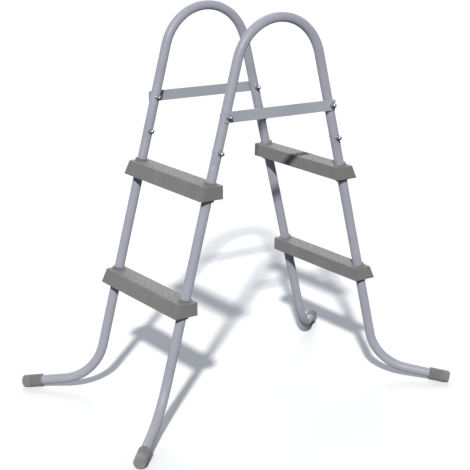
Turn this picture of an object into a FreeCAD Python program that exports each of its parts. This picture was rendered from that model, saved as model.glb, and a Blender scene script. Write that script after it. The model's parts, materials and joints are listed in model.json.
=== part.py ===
import FreeCAD, Part
import math
import os
from FreeCAD import Vector

# Two-step A-frame pool ladder, in millimetres and degrees.
# +X crosses the pool wall, +Y runs along it, +Z is up, and the origin is on the floor at the middle.
# A side is -1 (left, -X) or +1 (right, +X). A row is -1 (front, -Y) or +1 (rear, +Y).

# Frame
apex_height = 1145.0            # floor to the centreline of a handrail's top
rail_bend_radius = 145.0        # centreline radius of a handrail's half-round top
leg_lean = 14.5                 # between a leg and the vertical
tube_spacing = 368.0            # between the front and rear tubes' centrelines
tube_diameter = 28.0
tube_wall = 1.2

# Spigot joint: the leg's reduced top plugs into the handrail and a bolt goes through both
joint_bolt_height = 788.0
joint_edge_distance = 35.0      # along the tube, from the bolt down to the handrail's lower end
spigot_above_bolt = 28.0        # along the tube, from the bolt up to the spigot's top
spigot_clearance = 0.15         # radial
shoulder_chamfer = 1.5          # along the tube, where the leg's end is rounded down to the spigot
swage_length = 6.0              # along the tube, where the leg's bore narrows

# Feet
foot_turn = 45.0                # in plan, between a foot and the X axis
foot_drop = 9.0                 # below the horizontal
foot_bend_radius = 140.0        # centreline radius
foot_straight = 128.0           # straight tube after the bend

# Foot caps
cap_length = 64.0
cap_end_thickness = 8.0
cap_wall = 4.3
cap_clearance = 0.1             # radial, and at the tube's end
cap_end_round = 9.0
cap_mouth_round = 1.5
cap_ring_count = 5
cap_ring_pitch = 6.8
cap_groove_depth = 1.5
cap_groove_width = 3.0
cap_mouth_land = 4.0            # plain band between the mouth and the first groove
cap_floor_flat = 1.0            # how deep the flat under each cap is cut

# Crossbars
crossbar_low_edge = 870.0       # stands just above the pool wall
crossbar_height = 31.0
crossbar_thickness = 3.0
crossbar_overhang = 12.0        # beyond the tube's centreline
crossbar_corner_radius = 4.0

# Bolts, washers and cap nuts
bolt_diameter = 8.0
bolt_hole_clearance = 0.2       # radial
thread_clearance = 0.05         # radial, between a shank and its nut
bolt_head_diameter = 14.0
bolt_head_height = 4.4
bolt_head_round = 3.5           # radius of the button head's edge
bolt_socket_width = 5.0         # across the flats
bolt_socket_depth = 2.4
bolt_engagement = 9.0           # shank inside the nut
washer_diameter = 16.0
washer_thickness = 1.6
nut_width = 13.0                # across the flats
nut_hex_height = 6.5
nut_dome_diameter = 12.4
nut_height = 15.0
nut_bore_depth = 11.0
nut_corner_chamfer = 0.9        # how far the chamfer's circle lies inside the hexagon's corners
nut_chamfer_angle = 30.0        # between the chamfer and the hexagon's end face

# Treads
tread_tops = {"lower": 378.0, "upper": 700.0}
tread_height = 38.0
tread_inner_reach = 33.5        # from the tube's centre at mid height to the upright inner face
tread_outer_top_reach = 25.5    # from the tube's centre at mid height to the outer top edge
tread_outer_low_reach = 43.0    # from the tube's centre at mid height to the outer bottom edge
tread_end_overhang = 26.0       # beyond the tube's centreline, along Y
tread_end_draft = 2.0           # lean of the end faces
tread_wall = 3.0
tread_top_thickness = 3.6
tread_corner_radius = 7.0
tread_edge_radius = 2.2
sleeve_radius = 19.5
sleeve_clearance = 0.3          # radial, round the tube
collar_step = 0.8               # least height of a sleeve's rim beyond the tread
rib_thickness = 2.4
rib_recess = 6.0                # from the tread's open bottom up to the ribs
cross_rib_count = 5
grip_row_count = 4
grip_row_pitch = 10.5
grip_bar_length = 24.0
grip_bar_gap = 8.0
grip_bar_width = 3.0
grip_bar_height = 0.9
grip_sleeve_gap = 12.0          # kept clear between the grip bars and a sleeve

# Tread screws
screw_diameter = 4.2
screw_clearance = 0.1           # radial
screw_head_diameter = 8.0
screw_head_height = 2.8
screw_slot_width = 1.2
screw_slot_depth = 1.3
screw_point_length = 3.0        # past the inside of the tube wall

# Worked out from the sizes above
tube_radius = tube_diameter / 2
bore_radius = tube_radius - tube_wall
spigot_radius = bore_radius - spigot_clearance
spigot_bore_radius = spigot_radius - tube_wall
half_spacing = tube_spacing / 2
lean = math.radians(leg_lean)
arc_end_x = rail_bend_radius * math.cos(lean)
arc_end_z = apex_height - rail_bend_radius + rail_bend_radius * math.sin(lean)
drop = math.radians(foot_drop)
turn = math.radians(foot_turn)
cap_radius = tube_radius + cap_clearance + cap_wall
crossbar_bolt_height = crossbar_low_edge + crossbar_height / 2

# The cap's lowest point is under the middle of its end rounding, and the floor cuts the flat there
cap_lowest = ((cap_radius - cap_end_round) * math.cos(drop)
              + cap_end_round - cap_end_round * math.sin(drop))
cap_tip_height = cap_lowest - cap_floor_flat
cut_margin = 2.0                # how far a cutting body runs past what it cuts
edge_tolerance = 1e-4           # for picking edges by their place or length

sides = {"left": -1, "right": 1}
rows = {"front": -1, "rear": 1}


def leg_x(z):
    return arc_end_x + (arc_end_z - z) * math.tan(lean)


def leg_point(side, row, z):
    return Vector(side * leg_x(z), row * half_spacing, z)


def leg_down(side):
    return Vector(side * math.sin(lean), 0, -math.cos(lean))


def joint_end(side, row):
    """The handrail's lower end, where the leg's shoulder meets it."""
    return leg_point(side, row, joint_bolt_height) + leg_down(side) * joint_edge_distance


def disc(centre, direction, radius):
    return Part.Face(Part.Wire(Part.makeCircle(radius, centre, direction)))


def straight_rod(start, end, radius):
    return Part.makeCylinder(radius, start.distanceToPoint(end), start, end - start)


def bent_rod(start, heading, towards, bend_radius, angle, radius):
    """A round rod that leaves start along heading and bends through angle towards a direction."""
    centre = start + towards * bend_radius
    return disc(start, heading, radius).revolve(centre, heading.cross(towards), math.degrees(angle))


def fused(shapes):
    return shapes[0].multiFuse(shapes[1:]).removeSplitter()


def across(point, y_from, y_to, radius):
    """A round body along Y through a point, from one Y to the other."""
    return Part.makeCylinder(radius, y_to - y_from, Vector(point.x, y_from, point.z), Vector(0, 1, 0))


def bolt_hole(side, row, z):
    reach = tube_radius + crossbar_thickness + cut_margin
    middle = row * half_spacing
    point = leg_point(side, row, z)
    return across(point, middle - reach, middle + reach, bolt_diameter / 2 + bolt_hole_clearance)


def round_edges(shape):
    return [edge for edge in shape.Edges if isinstance(edge.Curve, Part.Circle)]


def single_solid(shape):
    return shape.Solids[0] if len(shape.Solids) == 1 else shape


# Handrails: a half-round top between two straight legs

def handrail_rod(row, radius, beyond):
    """The handrail's centreline carried by a round of one radius, running past both lower ends."""
    left_top = leg_point(-1, row, arc_end_z)
    right_top = leg_point(1, row, arc_end_z)
    left_low = joint_end(-1, row) + leg_down(-1) * beyond
    right_low = joint_end(1, row) + leg_down(1) * beyond
    towards = Vector(math.cos(lean), 0, -math.sin(lean))
    arch = bent_rod(left_top, leg_down(-1) * -1, towards, rail_bend_radius, math.pi - 2 * lean, radius)
    left_leg = straight_rod(left_low, left_top, radius)
    right_leg = straight_rod(right_low, right_top, radius)
    return fused([left_leg, arch, right_leg])


def make_handrail(row):
    tube = handrail_rod(row, tube_radius, 0).cut(handrail_rod(row, bore_radius, cut_margin))
    for side in sides.values():
        tube = tube.cut(bolt_hole(side, row, crossbar_bolt_height))
        tube = tube.cut(bolt_hole(side, row, joint_bolt_height))
    return single_solid(tube)


# Legs: a spigot at the top, a bend at the bottom and a foot that splays outward

def foot_direction(side, row):
    level = math.cos(drop)
    return Vector(side * math.cos(turn) * level, row * math.sin(turn) * level, -math.sin(drop))


def foot_path(side, row):
    """Start and end of the foot's bend, the tube's end and the bend's angle."""
    down = leg_down(side)
    out = foot_direction(side, row)
    angle = down.getAngle(out)
    tangent = foot_bend_radius * math.tan(angle / 2)
    length = tangent + foot_straight + cap_clearance + cap_end_thickness
    corner = leg_point(side, row, cap_tip_height + math.sin(drop) * length)
    bend_start = corner - down * tangent
    bend_end = corner + out * tangent
    return bend_start, bend_end, bend_end + out * foot_straight, angle


def leg_rod(side, row, top, radius, beyond):
    down = leg_down(side)
    out = foot_direction(side, row)
    bend_start, bend_end, tube_end, angle = foot_path(side, row)
    towards = (out - down * out.dot(down)).normalize()
    bend = bent_rod(bend_start, down, towards, foot_bend_radius, angle, radius)
    return fused([straight_rod(top, bend_start, radius), bend,
                  straight_rod(bend_end, tube_end + out * beyond, radius)])


def make_leg(side, row):
    down = leg_down(side)
    shoulder = joint_end(side, row)
    spigot_length = joint_edge_distance + spigot_above_bolt
    spigot_top = shoulder - down * spigot_length
    full_start = shoulder + down * shoulder_chamfer
    outside = fused([
        leg_rod(side, row, full_start, tube_radius, 0),
        Part.makeCone(spigot_radius, tube_radius, shoulder_chamfer, shoulder, down),
        straight_rod(spigot_top, shoulder, spigot_radius)])
    wide_start = full_start + down * swage_length
    inside = fused([
        leg_rod(side, row, wide_start, bore_radius, cut_margin),
        Part.makeCone(spigot_bore_radius, bore_radius, swage_length, full_start, down),
        straight_rod(spigot_top - down * cut_margin, full_start, spigot_bore_radius)])
    leg = outside.cut(inside).cut(bolt_hole(side, row, joint_bolt_height))
    for top_z in tread_tops.values():
        leg = leg.cut(screw_hole(side, row, top_z))
    return single_solid(leg)


# Foot caps: ribbed sleeves with a blind bore and a flat on the floor

def make_foot_cap(side, row):
    """A profile turned about the foot's axis, with X as the radius and Z towards the tip."""
    out = foot_direction(side, row)
    tube_end = foot_path(side, row)[2]
    bore = tube_radius + cap_clearance
    bore_depth = cap_length - cap_end_thickness
    mouth = tube_end + out * (cap_clearance - bore_depth)
    body = Part.makeCylinder(cap_radius, cap_length)
    tip_edge = max(round_edges(body), key=lambda edge: edge.CenterOfMass.z)
    body = body.makeFillet(cap_end_round, [tip_edge])
    mouth_edge = min(round_edges(body), key=lambda edge: edge.CenterOfMass.z)
    body = body.makeFillet(cap_mouth_round, [mouth_edge])
    body = body.cut(Part.makeCylinder(bore, bore_depth + cut_margin, Vector(0, 0, -cut_margin)))
    for number in range(cap_ring_count):
        z = cap_mouth_land + number * cap_ring_pitch
        ring = Part.makeCylinder(cap_radius + cut_margin, cap_groove_width, Vector(0, 0, z))
        core = Part.makeCylinder(cap_radius - cap_groove_depth, cap_groove_width, Vector(0, 0, z))
        body = body.cut(ring.cut(core))
    turned = FreeCAD.Rotation(Vector(0, 0, 1), out)
    body.Placement = FreeCAD.Placement(mouth, turned)
    span = cap_length + cap_radius
    floor = Part.makeBox(2 * span, 2 * span, span, Vector(mouth.x - span, mouth.y - span, -span))
    return single_solid(body.cut(floor))


# Crossbars: flat bars on the outer faces of the handrails

def make_crossbar(row):
    reach = leg_x(crossbar_bolt_height) + crossbar_overhang
    near = half_spacing + tube_radius
    start_y = near if row > 0 else -near - crossbar_thickness
    low_corner = Vector(-reach, start_y, crossbar_low_edge)
    bar = Part.makeBox(2 * reach, crossbar_thickness, crossbar_height, low_corner)
    corners = [edge for edge in bar.Edges
               if abs(edge.BoundBox.YLength - crossbar_thickness) < edge_tolerance]
    bar = bar.makeFillet(crossbar_corner_radius, corners)
    for side in sides.values():
        bar = bar.cut(bolt_hole(side, row, crossbar_bolt_height))
    return single_solid(bar)


# Bolts run along Y with the head towards +Y and the cap nut towards -Y

def hexagon(width, height, point):
    """An upright hexagonal prism along +Y from a point."""
    radius = width / math.sqrt(3)
    angles = [math.radians(60 * number) for number in range(7)]
    corners = [point + Vector(radius * math.sin(a), 0, radius * math.cos(a)) for a in angles]
    return Part.Face(Part.makePolygon(corners)).extrude(Vector(0, height, 0))


def make_bolt(point, head_y, nut_y):
    """Button head at head_y, shank through to the nut's bore past nut_y."""
    shank_end = nut_y - washer_thickness - bolt_engagement
    shank = across(point, shank_end, head_y, bolt_diameter / 2)
    head = across(point, head_y, head_y + bolt_head_height, bolt_head_diameter / 2)
    rim = max(round_edges(head), key=lambda edge: edge.CenterOfMass.y)
    head = head.makeFillet(bolt_head_round, [rim])
    seat = Vector(point.x, head_y + bolt_head_height - bolt_socket_depth, point.z)
    bolt = shank.fuse(head).removeSplitter().cut(hexagon(bolt_socket_width, bolt_head_height, seat))
    return single_solid(bolt)


def make_washer(point, nut_y):
    low_y = nut_y - washer_thickness
    ring = across(point, low_y, nut_y, washer_diameter / 2)
    hole = across(point, low_y - cut_margin, nut_y + cut_margin, bolt_diameter / 2 + bolt_hole_clearance)
    return single_solid(ring.cut(hole))


def make_cap_nut(point, nut_y):
    """A hexagon with chamfered corners, a round neck and a domed end, all towards -Y."""
    base_y = nut_y - washer_thickness
    hex_end = Vector(point.x, base_y - nut_hex_height, point.z)
    narrow = nut_width / math.sqrt(3) - nut_corner_chamfer
    wide = narrow + nut_hex_height / math.tan(math.radians(nut_chamfer_angle))
    chamfer = Part.makeCone(narrow, wide, nut_hex_height, hex_end, Vector(0, 1, 0))
    hexagon_part = hexagon(nut_width, nut_hex_height, hex_end).common(chamfer)
    dome_radius = nut_dome_diameter / 2
    dome_y = base_y - nut_height + dome_radius
    neck = across(point, dome_y, base_y - nut_hex_height / 2, dome_radius)
    dome = Part.makeSphere(dome_radius, Vector(point.x, dome_y, point.z))
    nut = fused([hexagon_part, neck, dome])
    bore = across(point, base_y - nut_bore_depth, base_y + cut_margin, bolt_diameter / 2 + thread_clearance)
    return single_solid(nut.cut(bore))


def fastener_seats(row, with_crossbar):
    """Y of the bolt head's seat and of the washer's seat."""
    middle = row * half_spacing
    head_y = middle + tube_radius
    nut_y = middle - tube_radius
    if with_crossbar and row > 0:
        head_y += crossbar_thickness
    if with_crossbar and row < 0:
        nut_y -= crossbar_thickness
    return head_y, nut_y


# Treads: moulded shells with an open underside, ribs, a sleeve round each tube and grip bars on top

def tread_middle(top_z):
    return leg_x(top_z - tread_height / 2)


def tread_block(side, top_z, inset, low, high):
    """The tread's outer form between two heights, with its four sides moved in by inset."""
    slope = (tread_outer_low_reach - tread_outer_top_reach) / tread_height
    middle = tread_middle(top_z)
    outlines = []
    for z in (low, high):
        inner = middle - tread_inner_reach + inset
        outer = middle + tread_outer_top_reach + (top_z - z) * slope - inset * math.hypot(1, slope)
        end = (half_spacing + tread_end_overhang - inset
               - (z - top_z + tread_height) * math.tan(math.radians(tread_end_draft)))
        plan = ((inner, -end), (outer, -end), (outer, end), (inner, end), (inner, -end))
        outlines.append(Part.makePolygon([Vector(side * x, y, z) for x, y in plan]))
    return Part.makeLoft(outlines, True, True)


def rounded_block(side, top_z):
    """The tread's outer form with rounded upright corners and a rounded top edge."""
    low = top_z - tread_height
    block = tread_block(side, top_z, 0, low, top_z)
    uprights = [edge for edge in block.Edges if edge.BoundBox.ZLength > tread_height / 2]
    block = block.makeFillet(tread_corner_radius, uprights)
    rim = [edge for edge in block.Edges if edge.BoundBox.ZMin > top_z - edge_tolerance]
    return block.makeFillet(tread_edge_radius, rim)


def sleeve(side, row, top_z, radius, beyond):
    """A round body on the leg's axis whose end faces are square to the leg."""
    rise = sleeve_radius * math.sin(lean) + collar_step + beyond
    top = leg_point(side, row, top_z + rise)
    low = leg_point(side, row, top_z - tread_height - rise)
    return straight_rod(low, top, radius)


def tread_ribs(side, top_z):
    """One long rib down the middle and cross ribs between the sleeves, kept inside the walls."""
    low = top_z - tread_height + rib_recess
    fill = tread_block(side, top_z, tread_wall / 2, low, top_z - tread_top_thickness / 2)
    middle = side * tread_middle(top_z)
    length = tube_spacing + 2 * tread_end_overhang
    width = tread_inner_reach + tread_outer_low_reach
    long_corner = Vector(middle - rib_thickness / 2, -length / 2, low)
    ribs = [Part.makeBox(rib_thickness, length, tread_height, long_corner)]
    spacing = tube_spacing / (cross_rib_count + 1)
    for number in range(cross_rib_count):
        y = -half_spacing + spacing * (number + 1) - rib_thickness / 2
        ribs.append(Part.makeBox(2 * width, rib_thickness, tread_height, Vector(middle - width, y, low)))
    return fused([rib.common(fill) for rib in ribs])


def grip_bars(side, top_z):
    """Rows of short raised bars between the sleeves, every second row shifted by half a step."""
    step = grip_bar_length + grip_bar_gap
    reach = half_spacing - sleeve_radius - grip_sleeve_gap
    flat_middle = tread_middle(top_z) + (tread_outer_top_reach - tread_inner_reach) / 2
    bars = []
    for row_number in range(grip_row_count):
        x = flat_middle + (row_number - (grip_row_count - 1) / 2) * grip_row_pitch
        shifted = row_number % 2 == 1
        count = int((2 * reach + grip_bar_gap) // step) - (1 if shifted else 0)
        first = -(count * step - grip_bar_gap) / 2
        for number in range(count):
            corner = Vector(side * x - grip_bar_width / 2, first + number * step, top_z - grip_bar_height)
            bars.append(Part.makeBox(grip_bar_width, grip_bar_length, 2 * grip_bar_height, corner))
    return bars


def screw_hole(side, row, top_z):
    """Clearance along Y through one wall of the tube and the sleeve, towards the tread's middle."""
    point = leg_point(side, row, top_z - tread_height / 2)
    ends = sorted((point.y, point.y - row * (sleeve_radius + cut_margin)))
    return across(point, ends[0], ends[1], screw_diameter / 2 + screw_clearance)


def make_tread(side, top_z):
    low = top_z - tread_height
    cavity = tread_block(side, top_z, tread_wall, low - cut_margin, top_z - tread_top_thickness)
    shell = rounded_block(side, top_z).cut(cavity)
    pieces = [shell, tread_ribs(side, top_z)] + grip_bars(side, top_z)
    pieces += [sleeve(side, row, top_z, sleeve_radius, 0) for row in rows.values()]
    tread = fused(pieces)
    for row in rows.values():
        tread = tread.cut(sleeve(side, row, top_z, tube_radius + sleeve_clearance, cut_margin))
        tread = tread.cut(screw_access(side, row, top_z)).cut(screw_hole(side, row, top_z))
    return single_solid(tread)


def screw_access(side, row, top_z):
    """Room for the screw's head beside the sleeve, where the long rib would be."""
    point = leg_point(side, row, top_z - tread_height / 2)
    seat = point.y - row * sleeve_radius
    ends = sorted((seat, seat - row * (screw_head_height + cut_margin)))
    return across(point, ends[0], ends[1], screw_head_diameter / 2 + cut_margin)


def make_tread_screw(side, row, top_z):
    """Slotted cheese-head screw along Y, through the sleeve into the tube."""
    point = leg_point(side, row, top_z - tread_height / 2)
    seat = point.y - row * sleeve_radius
    tip = point.y - row * (bore_radius - screw_point_length)
    shank = across(point, min(seat, tip), max(seat, tip), screw_diameter / 2)
    head_end = seat - row * screw_head_height
    head = across(point, min(seat, head_end), max(seat, head_end), screw_head_diameter / 2)
    slot_end = head_end + row * screw_slot_depth
    low_y = min(head_end, slot_end)
    slot = Part.makeBox(screw_head_diameter, screw_slot_depth, screw_slot_width,
                        Vector(point.x - screw_head_diameter / 2, low_y, point.z - screw_slot_width / 2))
    return single_solid(shank.fuse(head).removeSplitter().cut(slot))


def make_parts():
    parts = {}
    for row_name, row in rows.items():
        parts["handrail_" + row_name] = make_handrail(row)
        parts["crossbar_" + row_name] = make_crossbar(row)
        for side_name, side in sides.items():
            corner = row_name + "_" + side_name
            parts["leg_" + corner] = make_leg(side, row)
            parts["foot_cap_" + corner] = make_foot_cap(side, row)
            for place, z in (("crossbar", crossbar_bolt_height), ("joint", joint_bolt_height)):
                point = leg_point(side, row, z)
                head_y, nut_y = fastener_seats(row, place == "crossbar")
                parts[place + "_bolt_" + corner] = make_bolt(point, head_y, nut_y)
                parts[place + "_washer_" + corner] = make_washer(point, nut_y)
                parts[place + "_nut_" + corner] = make_cap_nut(point, nut_y)
            for level, top_z in tread_tops.items():
                parts["tread_screw_" + level + "_" + corner] = make_tread_screw(side, row, top_z)
    for side_name, side in sides.items():
        for level, top_z in tread_tops.items():
            parts["tread_" + level + "_" + side_name] = make_tread(side, top_z)
    return parts


os.makedirs("parts", exist_ok=True)
for name, shape in make_parts().items():
    shape.exportStep("parts/" + name + ".step")
    box = shape.BoundBox
    print(name, len(shape.Solids), "valid" if shape.isValid() else "NOT VALID",
          "%.1f %.1f %.1f" % (box.XLength, box.YLength, box.ZLength), "low %.2f" % box.ZMin)
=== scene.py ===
import json
import math

import bmesh
import bpy
import numpy as np
from mathutils import Matrix, Vector


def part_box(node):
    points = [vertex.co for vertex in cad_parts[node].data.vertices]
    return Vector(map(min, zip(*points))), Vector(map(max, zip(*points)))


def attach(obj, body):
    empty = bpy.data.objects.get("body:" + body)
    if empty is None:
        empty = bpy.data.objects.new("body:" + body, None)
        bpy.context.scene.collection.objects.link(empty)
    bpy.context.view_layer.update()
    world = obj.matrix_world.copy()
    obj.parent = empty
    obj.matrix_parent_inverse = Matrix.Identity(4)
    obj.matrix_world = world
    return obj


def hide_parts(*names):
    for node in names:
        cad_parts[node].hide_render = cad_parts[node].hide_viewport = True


# Two-step pool ladder in metres: +X across the pool wall, +Y along it, +Z up.
# A side is -1 (left) or +1 (right), a row is -1 (front) or +1 (rear).

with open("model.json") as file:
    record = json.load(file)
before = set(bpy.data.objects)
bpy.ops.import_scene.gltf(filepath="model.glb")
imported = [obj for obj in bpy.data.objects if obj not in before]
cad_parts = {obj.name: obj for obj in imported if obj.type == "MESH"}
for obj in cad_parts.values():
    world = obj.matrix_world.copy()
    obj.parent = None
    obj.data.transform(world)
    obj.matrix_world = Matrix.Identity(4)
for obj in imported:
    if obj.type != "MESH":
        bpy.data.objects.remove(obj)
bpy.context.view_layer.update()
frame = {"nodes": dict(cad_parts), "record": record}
sides = {"left": -1, "right": 1}
rows = {"front": -1, "rear": 1}
mm = 0.001
print("frame loaded:", len(frame["nodes"]), "nodes")

# Studio: a floor and a backdrop that look pale, a narrow key light from the upper left front, a weak
# broad light behind, and a graded bluish sky that lights but isn't seen

studio = {
    "floorSize": 40.0,
    "floorColour": (0.90, 0.90, 0.90, 1),
    "floorBounceColour": (0.28, 0.28, 0.28, 1),     # what the floor gives back to the ladder
    "floorRoughness": 0.9,
    "floorSpecular": 0.1,
    "zenithColour": (0.78, 0.88, 1.0, 1),
    "horizonColour": (0.42, 0.53, 0.76, 1),
    "skyStrength": 0.30,
    "skyFarSide": 0.6,                  # share of the sky's light on the side away from the key
    "skyTurn": (-0.6, 0.7),             # where the sky changes between its two sides
    "backdropColour": (0.94, 0.945, 0.95, 1),       # what the camera sees in place of the sky
    "keyAzimuth": -39.5,
    "keyElevation": 35.5,
    "keyStrength": 4.2,
    "keyColour": (1.0, 0.985, 0.955),
    "keyAngle": 3.0,
    "backAzimuth": 146.0,
    "backElevation": 30.0,
    "backStrength": 1.5,
    "backColour": (0.95, 0.975, 1.0),
    "backAngle": 50.0,
    "lens": 100.0,
    "sensorWidth": 36.0,
    "clipEnd": 100.0,
    "azimuth": -34.69,
    "elevation": 15.84,
    "roll": 0.51,
    "distance": 3.9006,
    "target": (-0.0161, 0.0, 0.4812),
}


def directionFrom(azimuth, elevation):
    a, e = math.radians(azimuth), math.radians(elevation)
    return Vector((math.sin(a) * math.cos(e), -math.cos(a) * math.cos(e), math.sin(e)))


def addObject(name, data):
    added = bpy.data.objects.new(name, data)
    bpy.context.scene.collection.objects.link(added)
    return added


# The floor looks pale to the camera but bounces a darker colour, so shade on the ladder stays deep
def buildFloor(s):
    half = s["floorSize"] / 2
    mesh = bpy.data.meshes.new("floor")
    corners = [(-half, -half, 0), (half, -half, 0), (half, half, 0), (-half, half, 0)]
    mesh.from_pydata(corners, [], [(0, 1, 2, 3)])
    floor = addObject("floor", mesh)
    material = bpy.data.materials.new("paleFloor")
    material.use_nodes = True
    tree = material.node_tree
    shader = tree.nodes["Principled BSDF"]
    ray = tree.nodes.new("ShaderNodeLightPath")
    colour = addMix(tree, ray.outputs["Is Camera Ray"], s["floorBounceColour"], s["floorColour"])
    wire(tree, colour, shader.inputs["Base Color"])
    shader.inputs["Roughness"].default_value = s["floorRoughness"]
    shader.inputs["Specular IOR Level"].default_value = s["floorSpecular"]
    mesh.materials.append(material)


# The sky is darker at the horizon and away from the key, so bright metal has something to mirror.
# The camera sees a plain backdrop in its place.
def buildSky(s):
    world = bpy.data.worlds.new("studioSky")
    bpy.context.scene.world = world
    world.use_nodes = True
    tree = world.node_tree
    sphere = tree.nodes.new("ShaderNodeTexCoord").outputs["Generated"]
    ramp = tree.nodes.new("ShaderNodeValToRGB")
    ramp.color_ramp.elements[0].color = s["horizonColour"]
    ramp.color_ramp.elements[1].color = s["zenithColour"]
    wire(tree, upwardPart(tree, sphere), ramp.inputs[0])
    ray = tree.nodes.new("ShaderNodeLightPath")
    seen = addMix(tree, ray.outputs["Is Camera Ray"], ramp.outputs[0], s["backdropColour"])
    wire(tree, seen, tree.nodes["Background"].inputs["Color"])
    facing = dotProduct(tree, sphere, tuple(directionFrom(s["keyAzimuth"], 0)))
    strength = addRange(tree, facing, *s["skyTurn"],
                        s["skyFarSide"] * s["skyStrength"], s["skyStrength"])
    strength = addMath(tree, "MAXIMUM", strength, ray.outputs["Is Camera Ray"])
    wire(tree, strength, tree.nodes["Background"].inputs["Strength"])


def buildLamp(name, s):
    light = bpy.data.lights.new(name, "SUN")
    light.energy = s[name + "Strength"]
    light.color = s[name + "Colour"]
    light.angle = math.radians(s[name + "Angle"])
    lamp = addObject(name, light)
    lamp.rotation_mode = "QUATERNION"
    towards = directionFrom(s[name + "Azimuth"], s[name + "Elevation"])
    lamp.rotation_quaternion = towards.to_track_quat("Z", "Y")


def buildCamera(s):
    lensData = bpy.data.cameras.new("camera")
    lensData.lens = s["lens"]
    lensData.sensor_width = s["sensorWidth"]
    lensData.clip_end = s["clipEnd"]
    camera = addObject("camera", lensData)
    back = directionFrom(s["azimuth"], s["elevation"])
    camera.location = Vector(s["target"]) + back * s["distance"]
    camera.rotation_mode = "QUATERNION"
    level = (-back).to_track_quat("-Z", "Y").to_matrix()
    rolled = level @ Matrix.Rotation(math.radians(s["roll"]), 3, "Z")
    camera.rotation_quaternion = rolled.to_quaternion()
    bpy.context.scene.camera = camera
    bpy.context.scene.view_settings.view_transform = "Standard"


# Shader node helpers, then groups built once each, which give values, masks or a height


def wire(tree, source, target):
    if isinstance(source, (int, float, tuple)):
        target.default_value = source
    else:
        tree.links.new(source, target)


def addMath(tree, operation, first, second=0.0, third=0.0, clamp=False):
    node = tree.nodes.new("ShaderNodeMath")
    node.operation = operation
    node.use_clamp = clamp
    for value, socket in zip((first, second, third), node.inputs):
        wire(tree, value, socket)
    return node.outputs[0]


def addNoise(tree, vector, scale, detail=3.0, roughness=0.5):
    node = tree.nodes.new("ShaderNodeTexNoise")
    wire(tree, vector, node.inputs["Vector"])
    for name, value in (("Scale", scale), ("Detail", detail), ("Roughness", roughness)):
        wire(tree, value, node.inputs[name])
    return node.outputs["Fac"]


def addRange(tree, value, low, high, toLow=0.0, toHigh=1.0):
    node = tree.nodes.new("ShaderNodeMapRange")
    node.interpolation_type = "SMOOTHSTEP"
    for source, name in ((value, "Value"), (low, "From Min"), (high, "From Max"),
                         (toLow, "To Min"), (toHigh, "To Max")):
        wire(tree, source, node.inputs[name])
    return node.outputs[0]


def addMix(tree, factor, first, second):
    node = tree.nodes.new("ShaderNodeMix")
    node.data_type = "RGBA"
    colours = [socket for socket in node.inputs if socket.type == "RGBA"]
    wire(tree, factor, node.inputs[0])
    wire(tree, first, colours[0])
    wire(tree, second, colours[1])
    return [socket for socket in node.outputs if socket.type == "RGBA"][0]


def mapped(tree, vector, setting, value):
    node = tree.nodes.new("ShaderNodeMapping")
    wire(tree, vector, node.inputs["Vector"])
    wire(tree, value, node.inputs[setting])
    return node.outputs[0]


def upwardPart(tree, vector):
    node = tree.nodes.new("ShaderNodeSeparateXYZ")
    wire(tree, vector, node.inputs[0])
    return node.outputs["Z"]


def dotProduct(tree, first, second):
    node = tree.nodes.new("ShaderNodeVectorMath")
    node.operation = "DOT_PRODUCT"
    wire(tree, first, node.inputs[0])
    wire(tree, second, node.inputs[1])
    return node.outputs["Value"]


def attribute(tree, name, output="Fac"):
    node = tree.nodes.new("ShaderNodeAttribute")
    node.attribute_name = name
    return node.outputs[output]


# A group with a vector and the named values coming in and the named values going out
def newGroup(name, inputs, outputs):
    group = bpy.data.node_groups.new(name, "ShaderNodeTree")
    group.interface.new_socket(name="Vector", in_out="INPUT", socket_type="NodeSocketVector")
    for label, value in inputs.items():
        socket = group.interface.new_socket(name=label, in_out="INPUT", socket_type="NodeSocketFloat")
        socket.default_value = value
    for label in outputs:
        group.interface.new_socket(name=label, in_out="OUTPUT", socket_type="NodeSocketFloat")
    return group, group.nodes.new("NodeGroupInput").outputs, group.nodes.new("NodeGroupOutput").inputs


buildFloor(studio)
buildSky(studio)
buildLamp("key", studio)
buildLamp("back", studio)
buildCamera(studio)
print("studio ready")

millimetresPerMetre = 1000.0            # the groups take their sizes in millimetres


# Fine grain: two sizes of noise added, as a height and as a value from 0 to 1
def buildGrainGroup():
    group, given, result = newGroup("surfaceGrain", {"Grain Size": 0.8, "Unevenness": 0.3},
                                    ("Height", "Value"))
    scale = addMath(group, "DIVIDE", millimetresPerMetre, given["Grain Size"])
    fine = addNoise(group, given["Vector"], scale, 2.0)
    broad = addNoise(group, given["Vector"], addMath(group, "MULTIPLY", scale, 0.12), 2.0)
    height = addMath(group, "MULTIPLY_ADD", broad, given["Unevenness"], fine)
    wire(group, height, result["Height"])
    wire(group, addRange(group, fine, 0.35, 0.65), result["Value"])
    return group


# Blotches: soft cloudy variation at hand size and finger size
def buildBlotchGroup():
    group, given, result = newGroup("paintBlotches", {"Blotch Size": 60.0}, ("Broad", "Small"))
    scale = addMath(group, "DIVIDE", millimetresPerMetre, given["Blotch Size"])
    wire(group, addNoise(group, given["Vector"], scale, 4.0, 0.6), result["Broad"])
    small = addNoise(group, given["Vector"], addMath(group, "MULTIPLY", scale, 5.0), 5.0, 0.65)
    wire(group, small, result["Small"])
    return group


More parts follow.
